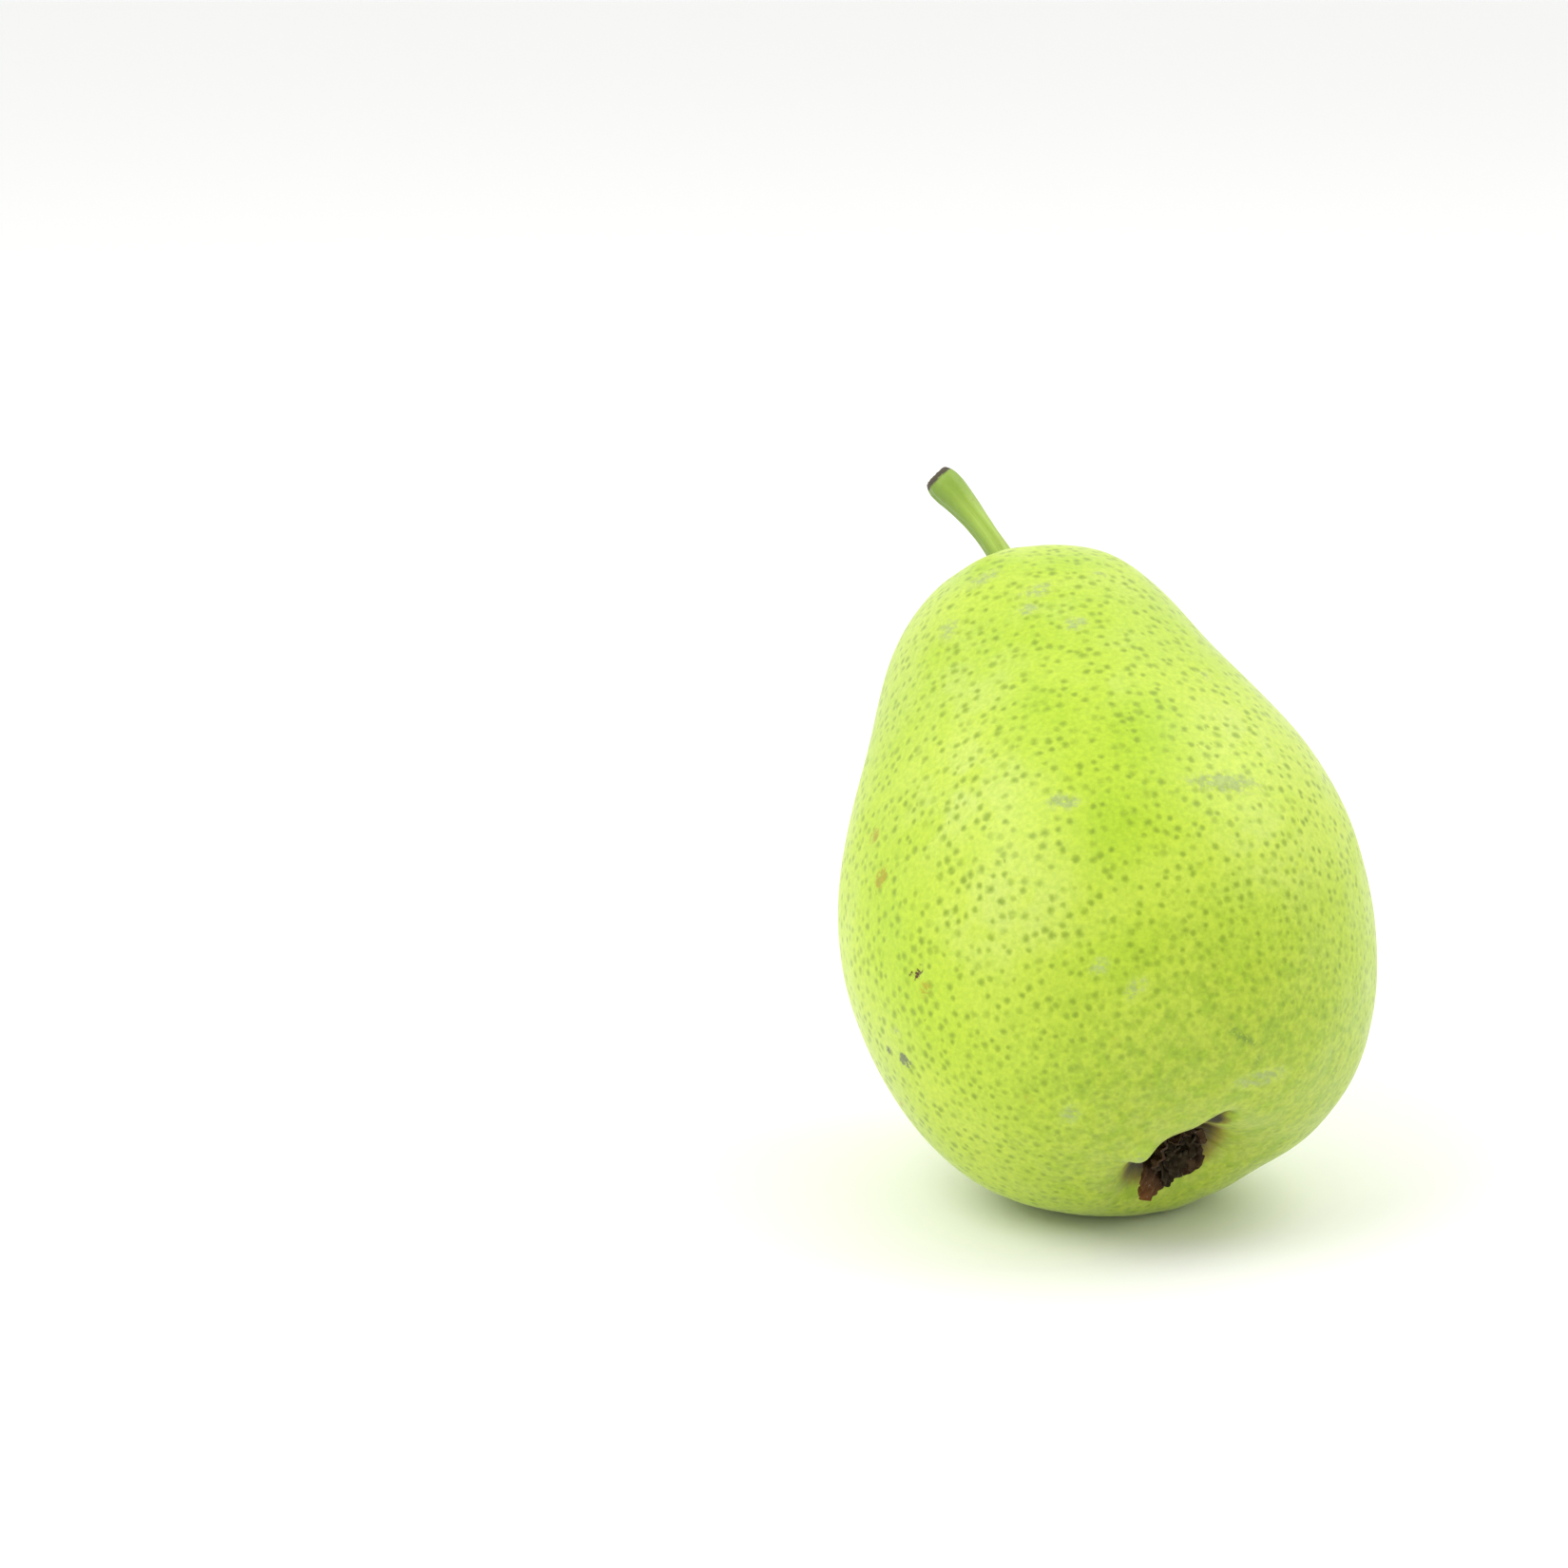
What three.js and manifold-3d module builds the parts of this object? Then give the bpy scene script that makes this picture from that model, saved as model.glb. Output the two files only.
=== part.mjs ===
// A green pear, leaning back on the small flat spot that it rests on: the fruit, its stem, and
// the dried flower in the basin at its lower end. Millimetres, +Z up, -Y to the front, and the
// origin at the centre of the flat spot.
import * as THREE from "three";
import { mergeVertices } from "three/addons/utils/BufferGeometryUtils.js";
import Module from "manifold-3d";

const wasm = await Module();
wasm.setup();

const { degToRad } = THREE.MathUtils;

// How it lies. The fruit has its own axis, from the flower end (0) to the stem end.
const LEAN = degToRad(39.5); // the axis, from upright
const HEADING = degToRad(21); // the way it leans, turned left from straight back
const AXIS_START = new THREE.Vector3(7.6, -21, 10.1); // the place of the axis's zero

// Half of the fruit's outline: [radius, height along the axis] of a smooth spline's guide
// points, from the floor of the flower basin, over its rim, the belly and the neck, and down
// into the hollow at the stem.
const OUTLINE = [
  [0, 4],
  [4, 4],
  [6.8, 1.4],
  [10.4, -0.8],
  [18, 0.6],
  [27.6, 6.7],
  [35.4, 20],
  [38.5, 36],
  [36.3, 50.5],
  [31.2, 63],
  [25.4, 75.5],
  [20.9, 87],
  [12, 96.2],
  [5.4, 96.4],
  [2.6, 92.6],
  [0, 92.6],
];
const LENGTH = 96;
const BELLY_HEIGHT = 34;
const BELLY_RADIUS = 38;
const RINGS_PER_POINT = 3;
const SIDES = 60;

// How the fruit departs from a turned shape.
const NECK_SHIFT = new THREE.Vector2(2.1, 2.9); // how far the bent neck's end is off the axis
const OVAL = 0.008; // the belly's oval, as a part of its radius
const LOBES = 5;
const LOBE_DEPTH = 0.45; // the lobes round the flower end
const LOBE_REACH = 13; // how high they reach
const LOBE_RADIUS = 20; // the distance from the axis where they have their full depth
const BASIN_SLOPE = 0.42; // the basin's tilt, rise over run
const BASIN_SLOPE_AZIMUTH = degToRad(-68); // the side that the tilt raises
const BASIN_SHIFT = new THREE.Vector2(-2.4, -4.6); // how far the basin is off the axis
const BASIN_REACH = 12; // the radius where the tilt and the shift have faded
const CHEEK_SWELL = 1.5; // the cheek that it lies on is a little fuller
const CHEEK_AZIMUTH = degToRad(95);
const CHEEK_WIDTH = degToRad(40);
const CHEEK_HEIGHT = 13;
const CHEEK_REACH = 11;
// A small pit and a knoll on the basin's rim, each a soft oval square to the rim.
const PIT = { azimuth: degToRad(-82), radius: 12.7, length: 2.6, width: 1.6, depth: 2.6 };
const KNOLL = { azimuth: degToRad(-134), radius: 12.6, length: 2.8, width: 2.3, depth: -1.8 };

// Stem: bent away from the axis, thick at the foot, flared at the cut end.
const STEM_FOOT = new THREE.Vector3(2.3, 2.8, 89.4);
const STEM_BEND = new THREE.Vector3(3.6, 2.6, 99.5);
const STEM_END = new THREE.Vector3(-5.6, 2.2, 113.5);
const STEM_RADII = [2.6, 2.4, 2.15, 1.95, 1.78, 1.7, 1.78, 2.15, 2.6, 2.55];
const STEM_SIDES = 16;
const GAP = 0.3; // left between pieces that touch

// Dried flower: five sepals round a tuft of stamens, measured from the basin's sloping floor
// (0) out of the basin (-Z).
const SEPALS = [
  { azimuth: degToRad(-100), spread: 4.4, tip: -4.4 },
  { azimuth: degToRad(-28), spread: 4.4, tip: -4 },
  { azimuth: degToRad(44), spread: 4.9, tip: -4.6 },
  { azimuth: degToRad(138), spread: 8, tip: -5.6 },
  { azimuth: degToRad(197), spread: 5, tip: -5.2 },
];
const SEPAL_FOOT_RADIUS = 3.1;
const SEPAL_FOOT = -0.8;
const SEPAL_WIDTH = 4.4;
const SEPAL_THICKNESS = 0.9;
const SEPAL_SIDES = 12;
const SEPAL_RINGS = 10;
const STAMENS = 9;
const STAMEN_LENGTH = 3.4;
const STAMEN_RADIUS = 0.42;
const STAMEN_TIP = 0.6; // the tip's radius, as a part of the foot's
const STAMEN_SPREAD = 0.7; // how far out the outermost stands, as a part of the tuft's radius
const STAMEN_SPLAY = 0.12; // the lean outward, in radians for each millimetre from the middle
const STAMEN_SIDES = 7;
const TUFT_RADIUS = 1.75;
const TUFT_THICKNESS = 0.8;
const TUFT_SIDES = 16;

// Colour and roughness of each kind of surface.
const SKIN = [0xb9d74f, 0.42];
const STALK = [0x9fc152, 0.6];
const DRIED_SEPAL = [0x3a2a1c, 0.85];
const DRIED_STAMEN = [0x2a1c14, 0.9];

const GROUND_WIDTH = 200; // of the block that stands for the ground
const GROUND_DEPTH = 40;
const WELD = 1e-4; // points closer than this are one
const GOLDEN_ANGLE = Math.PI * (3 - Math.sqrt(5));
const UP = new THREE.Vector3(0, 0, 1);

// The uniform cubic B-spline through the outline's guide points, mirrored at both ends, so
// that the surface runs level across the axis.
function outlinePoints(guide, count) {
  const last = guide.length - 1;
  const mirror = ([radius, height]) => [-radius, height];
  const points = [mirror(guide[1]), ...guide, mirror(guide[last - 1])];
  const outline = [];
  for (let i = 0; i <= count; i++) {
    const place = (last * i) / count;
    const span = Math.min(Math.floor(place), last - 1);
    const t = place - span;
    const weights = [
      (1 - t) ** 3,
      3 * t ** 3 - 6 * t ** 2 + 4,
      -3 * t ** 3 + 3 * t ** 2 + 3 * t + 1,
      t ** 3,
    ];
    const blend = (axis) =>
      weights.reduce((sum, weight, k) => sum + (weight * points[span + k][axis]) / 6, 0);
    const onAxis = i === 0 || i === count;
    outline.push(new THREE.Vector2(onAxis ? 0 : blend(0), blend(1)));
  }
  return outline;
}

// The body that a profile makes when it is turned about the Z axis.
function turned(profile, sides) {
  return new THREE.LatheGeometry(profile, sides).rotateX(Math.PI / 2);
}

// Moves each vertex of a geometry by a function of its place.
function reshape(geometry, move) {
  const position = geometry.getAttribute("position");
  const vertex = new THREE.Vector3();
  for (let i = 0; i < position.count; i++) {
    move(vertex.fromBufferAttribute(position, i));
    position.setXYZ(i, vertex.x, vertex.y, vertex.z);
  }
  return geometry;
}

// Carries a geometry that stands on the Z axis along a curve: X goes to the side, Z along.
function carryAlong(geometry, curve, side) {
  geometry.computeBoundingBox();
  const { min, max } = geometry.boundingBox;
  return reshape(geometry, (vertex) => {
    const along = (vertex.z - min.z) / (max.z - min.z);
    const tangent = curve.getTangentAt(along);
    const across = side.clone().addScaledVector(tangent, -side.dot(tangent)).normalize();
    const out = tangent.clone().cross(across);
    const { x, y } = vertex;
    vertex.copy(curve.getPointAt(along)).addScaledVector(across, x).addScaledVector(out, y);
  });
}

// A three.js geometry as a manifold-3d solid.
function solid(geometry) {
  const bare = geometry.clone();
  bare.deleteAttribute("normal");
  bare.deleteAttribute("uv");
  const merged = mergeVertices(bare, WELD);
  return new wasm.Manifold(
    new wasm.Mesh({
      numProp: 3,
      vertProperties: new Float32Array(merged.getAttribute("position").array),
      triVerts: new Uint32Array(merged.index.array),
    }),
  );
}

// A manifold-3d solid as a three.js geometry.
function geometryOf(body) {
  const mesh = body.getMesh();
  const geometry = new THREE.BufferGeometry();
  const positions = new THREE.BufferAttribute(new Float32Array(mesh.vertProperties), 3);
  geometry.setAttribute("position", positions);
  geometry.setIndex(new THREE.BufferAttribute(new Uint32Array(mesh.triVerts), 1));
  geometry.computeVertexNormals();
  return geometry;
}

function material([color, roughness]) {
  return new THREE.MeshStandardMaterial({ color, roughness, metalness: 0 });
}

// How much further than a turned body the fruit reaches at a place, as a factor: the belly's
// oval, the lobes round the flower end and the fuller cheek.
function growth(radius, azimuth, height) {
  const reach = Math.exp(-((Math.max(height, 0) / LOBE_REACH) ** 2)) * (radius / LOBE_RADIUS);
  const lobe = Math.min(reach, 1) * LOBE_DEPTH * Math.cos(LOBES * azimuth);
  const turn = Math.atan2(Math.sin(azimuth - CHEEK_AZIMUTH), Math.cos(azimuth - CHEEK_AZIMUTH));
  const fromCheek = Math.hypot(turn / CHEEK_WIDTH, (height - CHEEK_HEIGHT) / CHEEK_REACH);
  const cheek = CHEEK_SWELL * Math.exp(-(fromCheek ** 2)) * (radius / BELLY_RADIUS);
  return 1 + OVAL * Math.cos(2 * azimuth) + (radius > 0 ? (lobe + cheek) / radius : 0);
}

// How deep a soft oval on the basin's rim dents a place that a turned body has at x, y.
function dent({ azimuth, radius, length, width, depth }, x, y) {
  const along = x * Math.cos(azimuth) + y * Math.sin(azimuth) - radius;
  const across = y * Math.cos(azimuth) - x * Math.sin(azimuth);
  return depth * Math.exp(-((along / length) ** 2) - (across / width) ** 2);
}

// The whole fruit before the flat spot is pressed into it.
function fruitBody() {
  const rings = Math.round(OUTLINE.length * RINGS_PER_POINT);
  const body = turned(outlinePoints(OUTLINE, rings), SIDES);
  return reshape(body, (vertex) => {
    const radius = Math.hypot(vertex.x, vertex.y);
    const azimuth = Math.atan2(vertex.y, vertex.x);
    const grown = growth(radius, azimuth, vertex.z);
    const low = vertex.z < BELLY_HEIGHT;
    const bend = low ? 0 : ((vertex.z - BELLY_HEIGHT) / (LENGTH - BELLY_HEIGHT)) ** 2;
    const basin = low ? Math.exp(-((radius / BASIN_REACH) ** 2)) : 0;
    const slope = BASIN_SLOPE * radius * Math.cos(azimuth - BASIN_SLOPE_AZIMUTH);
    const dented = dent(PIT, vertex.x, vertex.y) + dent(KNOLL, vertex.x, vertex.y);
    vertex.x = vertex.x * grown + bend * NECK_SHIFT.x + basin * BASIN_SHIFT.x;
    vertex.y = vertex.y * grown + bend * NECK_SHIFT.y + basin * BASIN_SHIFT.y;
    vertex.z += basin * slope + (low ? dented : 0);
  });
}

// The stem, or with a margin the socket that it sits in.
function stemBody(margin) {
  const curve = new THREE.QuadraticBezierCurve3(STEM_FOOT, STEM_BEND, STEM_END);
  const length = curve.getLength();
  const profile = [new THREE.Vector2(0, -margin)];
  STEM_RADII.forEach((radius, i) => {
    const height = (length * i) / (STEM_RADII.length - 1);
    const low = i === 0 ? -margin : height;
    profile.push(new THREE.Vector2(radius + margin, low));
  });
  profile.push(new THREE.Vector2(0, length));
  const foot = new THREE.Vector3(1, 0, 0);
  const body = carryAlong(turned(profile, STEM_SIDES), curve, foot);
  return margin ? body.translate(0, 0, -margin) : body;
}

// One dried sepal: a flat pointed blade that stands on the basin's floor and bends outward.
function sepalBody({ azimuth, spread, tip }) {
  const at = (radius, height) =>
    new THREE.Vector3(radius * Math.cos(azimuth), radius * Math.sin(azimuth), height);
  const foot = at(SEPAL_FOOT_RADIUS, SEPAL_FOOT);
  const bend = at(SEPAL_FOOT_RADIUS, (SEPAL_FOOT + tip) / 2);
  const curve = new THREE.QuadraticBezierCurve3(foot, bend, at(spread, tip));
  const side = new THREE.Vector3(-Math.sin(azimuth), Math.cos(azimuth), 0);
  const blade = new THREE.SphereGeometry(0.5, SEPAL_SIDES, SEPAL_RINGS).rotateX(Math.PI / 2);
  blade.scale(SEPAL_WIDTH, SEPAL_THICKNESS, 1);
  return carryAlong(blade, curve, side);
}

// The tuft of dried stamens: a small disc with thin stalks that spread from it.
function tuftBody() {
  const disc = new THREE.CylinderGeometry(TUFT_RADIUS, TUFT_RADIUS, TUFT_THICKNESS, TUFT_SIDES);
  const middle = -GAP - TUFT_THICKNESS / 2;
  let tuft = solid(disc.rotateX(Math.PI / 2).translate(0, 0, middle));
  for (let i = 0; i < STAMENS; i++) {
    const out = STAMEN_SPREAD * TUFT_RADIUS * Math.sqrt((i + 0.5) / STAMENS);
    const azimuth = i * GOLDEN_ANGLE;
    const tip = STAMEN_RADIUS * STAMEN_TIP;
    const stalk = new THREE.CylinderGeometry(STAMEN_RADIUS, tip, STAMEN_LENGTH, STAMEN_SIDES);
    stalk.rotateX(Math.PI / 2).translate(0, 0, -STAMEN_LENGTH / 2);
    stalk.rotateY(STAMEN_SPLAY * out).rotateZ(azimuth);
    stalk.translate(out * Math.cos(azimuth), out * Math.sin(azimuth), middle);
    tuft = tuft.add(solid(stalk));
  }
  return tuft;
}

function named(name, geometry, look) {
  const mesh = new THREE.Mesh(geometry, look);
  mesh.name = name;
  return mesh;
}

// The lean, as a group that the fruit and all that grows on it stand in.
const leaning = new THREE.Group();
leaning.rotation.set(-LEAN, 0, HEADING, "ZXY");
leaning.position.copy(AXIS_START);
leaning.updateMatrix();

// The dried flower's group, which stands square on the basin's sloping floor.
const flower = new THREE.Group();
const slopeAxis = new THREE.Vector3(0, 1, 0).applyAxisAngle(UP, BASIN_SLOPE_AZIMUTH);
flower.quaternion.setFromAxisAngle(slopeAxis, -Math.atan(BASIN_SLOPE));
flower.position.set(BASIN_SHIFT.x, BASIN_SHIFT.y, OUTLINE[0][1]);

// Everything below the ground, in the fruit's own frame: it cuts the flat spot.
function belowGround() {
  const block = new THREE.BoxGeometry(GROUND_WIDTH, GROUND_WIDTH, GROUND_DEPTH);
  block.translate(0, 0, -GROUND_DEPTH / 2);
  return solid(block.applyMatrix4(leaning.matrix.clone().invert()));
}

const fruit = solid(fruitBody()).subtract(belowGround()).subtract(solid(stemBody(GAP)));
leaning.add(named("fruit", geometryOf(fruit), material(SKIN)));
leaning.add(named("stem", stemBody(0), material(STALK)));
SEPALS.forEach((sepal, i) => {
  flower.add(named(`sepal_${i + 1}`, sepalBody(sepal), material(DRIED_SEPAL)));
});
flower.add(named("stamen_tuft", geometryOf(tuftBody()), material(DRIED_STAMEN)));
leaning.add(flower);

const pear = new THREE.Group();
pear.add(leaning);

export default pear;
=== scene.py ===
# %% [markdown]
# # A green pear at rest
# A stout green pear leans back on the small flat spot that it rests on. This lesson dresses
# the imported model: the skin, the bent stalk and the dried flower each get a surface worked
# out with numpy, and a procedural finish. The frame is loaded first, because every piece
# takes its place from it.

import bpy
import numpy as np
from mathutils import Matrix, Vector


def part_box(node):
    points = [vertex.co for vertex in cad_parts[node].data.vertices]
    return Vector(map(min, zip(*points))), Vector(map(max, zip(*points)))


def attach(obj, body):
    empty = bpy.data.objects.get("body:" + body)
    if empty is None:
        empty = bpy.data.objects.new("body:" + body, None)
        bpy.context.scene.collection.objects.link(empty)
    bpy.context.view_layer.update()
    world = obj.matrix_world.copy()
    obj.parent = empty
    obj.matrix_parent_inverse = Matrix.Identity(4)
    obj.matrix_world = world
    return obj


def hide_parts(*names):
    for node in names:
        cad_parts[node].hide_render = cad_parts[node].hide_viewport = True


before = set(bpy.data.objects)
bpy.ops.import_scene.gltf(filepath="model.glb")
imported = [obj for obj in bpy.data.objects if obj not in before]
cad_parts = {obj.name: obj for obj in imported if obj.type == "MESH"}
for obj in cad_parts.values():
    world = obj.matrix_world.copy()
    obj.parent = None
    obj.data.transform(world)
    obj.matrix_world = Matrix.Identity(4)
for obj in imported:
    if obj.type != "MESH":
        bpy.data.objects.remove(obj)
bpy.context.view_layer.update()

# %% [markdown]
# ## Units and a closed grid
# The pear's sizes read best in millimetres, while the frame is in metres, so one number
# turns one into the other. Every piece is a grid: rings of points along the piece, closed at
# both ends by one point. That keeps each piece watertight, and one helper makes them all.

# %% A helper that turns rings of points into a closed mesh
MM = 0.001


def ring_faces(rings, sides):
    """The faces of a closed grid and their places on a flat map. Point 0 is the first end
    and the last point is the other end. Between ring i and ring i + 1 each side j has a
    four-sided face (i, j), (i, j+1), (i+1, j+1), (i+1, j), and the ends are fans."""
    j = np.arange(sides)
    after = (j + 1) % sides
    ring = 1 + sides * np.arange(rings)[:, None]
    low, high = ring[:-1], ring[1:]
    quads = np.stack([low + j, low + after, high + after, high + j], axis=-1).reshape(-1, 4)
    top = 1 + sides * rings
    start = np.stack([0 * j, 1 + after, 1 + j], axis=-1)
    end = np.stack([0 * j + top, ring[-1] + j, ring[-1] + after], axis=-1)
    u = j / sides
    step = 1 / sides
    v = (np.arange(rings) + 1) / (rings + 1)
    v0, v1 = v[:-1, None] + 0 * u, v[1:, None] + 0 * u
    quad_map = np.stack([u + 0 * v0, v0, u + step + 0 * v0, v0, u + step + 0 * v0, v1, u + 0 * v0, v1], -1)
    start_map = np.stack([u + step / 2, 0 * u, u + step, 0 * u + v[0], u, 0 * u + v[0]], -1)
    end_map = np.stack([u + step / 2, 0 * u + 1, u, 0 * u + v[-1], u + step, 0 * u + v[-1]], -1)
    flat = np.concatenate([quad_map.ravel(), start_map.ravel(), end_map.ravel()])
    return quads, start, end, flat


def closed_piece(name, bodies, finish, fields=None):
    """A mesh object of one or more closed grids, each (first point, rings, last point) in
    millimetres. fields are named numbers, one for each point, that the finish reads."""
    points, faces, flat, base = [], [], [], 0
    for first, rings, last in bodies:
        own = np.concatenate([[first], rings.reshape(-1, 3), [last]])
        quads, start, end, own_flat = ring_faces(*rings.shape[:2])
        faces += (quads + base).tolist() + (start + base).tolist() + (end + base).tolist()
        points.append(own)
        flat.append(own_flat)
        base += len(own)
    mesh = bpy.data.meshes.new(name)
    mesh.from_pydata((np.concatenate(points) * MM).tolist(), [], faces)
    mesh.uv_layers.new(name="flat").data.foreach_set("uv", np.concatenate(flat))
    for name_of, values in (fields or {}).items():
        kind, key = ("FLOAT", "value") if values.ndim == 1 else ("FLOAT_VECTOR", "vector")
        mesh.attributes.new(name_of, kind, "POINT").data.foreach_set(key, values.ravel())
    mesh.shade_smooth()
    mesh.materials.append(finish)
    piece = bpy.data.objects.new(name, mesh)
    bpy.context.scene.collection.objects.link(piece)
    print(name, "has", sum(len(face) - 2 for face in faces), "triangles")
    return piece


# %% [markdown]
# ## Shader nodes
# The finishes are built from Blender's shader nodes. These short helpers add a node, fill
# its sockets, and return the socket that comes out, so that a finish reads from top to
# bottom like a recipe.

# %% Helpers for the finishes
def add_node(tree, kind, sockets, **settings):
    """A new shader node. sockets gives each input a plain value or another node's output,
    and settings are the node's own fields."""
    made = tree.nodes.new(kind)
    for field, value in settings.items():
        setattr(made, field, value)
    for key, value in sockets.items():
        if isinstance(value, bpy.types.NodeSocket):
            tree.links.new(value, made.inputs[key])
        else:
            made.inputs[key].default_value = value
    return made


def new_finish(name):
    """An empty material: its node tree, its surface shader, and the place on the piece."""
    finish = bpy.data.materials.new(name)
    finish.use_nodes = True
    tree = finish.node_tree
    place = add_node(tree, "ShaderNodeTexCoord", {}).outputs["Object"]
    return finish, tree, tree.nodes["Principled BSDF"], place


def noise(tree, place, size, detail=3.0, roughness=0.5):
    """Cloudy noise from 0 to 1 whose clouds are about size millimetres across."""
    sockets = {"Vector": place, "Scale": 1 / (size * MM), "Detail": detail, "Roughness": roughness}
    return add_node(tree, "ShaderNodeTexNoise", sockets).outputs["Fac"]


def field(tree, name):
    """The number that the mesh holds under that name."""
    return add_node(tree, "ShaderNodeAttribute", {}, attribute_name=name).outputs["Fac"]


def calc(tree, operation, first, second=0.0, clamp=False):
    """One sum on two numbers."""
    return add_node(tree, "ShaderNodeMath", {0: first, 1: second},
                    operation=operation, use_clamp=clamp).outputs[0]


def times(tree, first, second):
    """The product of two numbers."""
    return calc(tree, "MULTIPLY", first, second)


def plus(tree, first, second):
    """The sum of two numbers."""
    return calc(tree, "ADD", first, second)


def ramp(tree, value, low, high, to_low=0.0, to_high=1.0):
    """The value carried smoothly from the range low to high onto to_low to to_high."""
    sockets = {"Value": value, "From Min": low, "From Max": high, "To Min": to_low, "To Max": to_high}
    return add_node(tree, "ShaderNodeMapRange", sockets, interpolation_type="SMOOTHSTEP").outputs[0]


def tint(tree, amount, under, over, way="MIX"):
    """The colour under with the colour over laid on it by that amount."""
    sockets = {0: amount, 6: under, 7: over}
    return add_node(tree, "ShaderNodeMix", sockets, data_type="RGBA", blend_type=way).outputs[2]


def bumpy(tree, shader, height, strength, depth):
    """The shader's normal bent by a height from 0 to 1 that stands for depth metres."""
    bump = add_node(tree, "ShaderNodeBump", {"Strength": strength, "Distance": depth, "Height": height})
    tree.links.new(bump.outputs[0], shader.inputs["Normal"])


def set_up(shader, **values):
    """Plain values for the shader's sockets; an underscore in a name stands for a space."""
    for name, value in values.items():
        shader.inputs[name.replace("_", " ")].default_value = value


print("helpers ready")

# %% [markdown]
# ## The outline
# Seen from the side, half of the pear is one smooth line: out of the flower basin, over its
# rim, up the belly and the neck, and down into the hollow at the stalk. A uniform cubic
# B-spline draws it through a few guide points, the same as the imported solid's, and the first
# and last points are mirrored so that the skin runs level across the axis.

# %% The outline of the fruit
OUTLINE = np.array([
    (0, 4), (4, 4), (6.8, 1.4), (10.4, -0.8), (18, 0.6), (27.6, 6.7), (35.4, 20), (38.5, 36),
    (36.3, 50.5), (31.2, 63), (25.4, 75.5), (20.9, 87), (12, 96.2), (5.4, 96.4), (2.6, 92.6), (0, 92.6),
])
LENGTH = 96
BELLY_HEIGHT = 34
BELLY_RADIUS = 38


def spline(guide, place):
    """Points on a uniform cubic B-spline. place counts the guide points; with t the part of
    the way from one to the next, four neighbours are weighed by (1-t)^3, 3t^3-6t^2+4,
    -3t^3+3t^2+3t+1 and t^3, over 6."""
    mirror = np.array([-1, 1])
    points = np.concatenate([[guide[1] * mirror], guide, [guide[-2] * mirror]])
    span = np.minimum(place.astype(int), len(guide) - 2)
    t = (place - span)[:, None]
    weights = [(1 - t) ** 3, 3 * t**3 - 6 * t**2 + 4, -3 * t**3 + 3 * t**2 + 3 * t + 1, t**3]
    return sum(weight * points[span + k] for k, weight in enumerate(weights)) / 6


RINGS, SIDES = 290, 330
fine_place = np.linspace(0, len(OUTLINE) - 1, 6001)
fine_outline = spline(OUTLINE, fine_place)
steps = np.linalg.norm(np.diff(fine_outline, axis=0), axis=1)
closeness = 1 + 1.8 * np.exp(-((fine_outline[1:, 0] / 11) ** 2))  # rings crowd at both ends
along = np.concatenate([[0], np.cumsum(steps * closeness)])
ring_place = np.interp(np.linspace(0, along[-1], RINGS + 2), along, fine_place)
outline = spline(OUTLINE, ring_place)
outline[[0, -1], 0] = 0
print("the outline is", round(float(steps.sum()), 1), "mm long")
print("it reaches", round(outline[:, 0].max(), 1), "mm out")

# %% [markdown]
# ## From a turned body to a grown one
# A real pear is never round. The neck bends to one side, the belly is a little oval, five
# faint lobes run round the flower end, the cheek that it lies on is fuller, and the basin is
# tilted. Each of these is a smooth push on the turned grid, so the grid never tears.

# %% The sizes of the growth
OVAL = 0.008
LOBES, LOBE_DEPTH, LOBE_REACH, LOBE_RADIUS = 5, 0.45, 13, 20
CHEEK_SWELL, CHEEK_DEGREES, CHEEK_WIDTH = 1.5, 95, np.radians(40)
CHEEK_HEIGHT, CHEEK_REACH = 13, 11
NECK_SHIFT = (2.1, 2.9)
BASIN_REACH, BASIN_SHIFT = 12, (-2.4, -4.6)
BASIN_SLOPE, BASIN_SLOPE_DEGREES = 0.42, -68
# The pit and the knoll: distance from the axis, degrees, half length, half width; then depth.
PIT, PIT_DEPTH = (12.7, -82, 2.6, 1.6), 2.6
KNOLL, KNOLL_RISE = (12.6, -134, 2.8, 2.3), 1.8
azimuth = 2 * np.pi * np.arange(SIDES) / SIDES
print("the basin is", BASIN_SHIFT, "mm off the axis")

# %% The grown shape
def turned_from(angle, degrees):
    """How far an angle is from one in degrees, from -pi to pi."""
    return np.angle(np.exp(1j * (angle - np.radians(degrees))))


def rim_spot(x, y, distance, degrees, length, width):
    """A soft oval on the basin's rim, square to it: 1 at its middle, falling as a Gaussian
    of the steps along the radius and across it."""
    azimuth = np.radians(degrees)
    along = x * np.cos(azimuth) + y * np.sin(azimuth) - distance
    across = y * np.cos(azimuth) - x * np.sin(azimuth)
    return np.exp(-((along / length) ** 2) - (across / width) ** 2)


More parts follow.
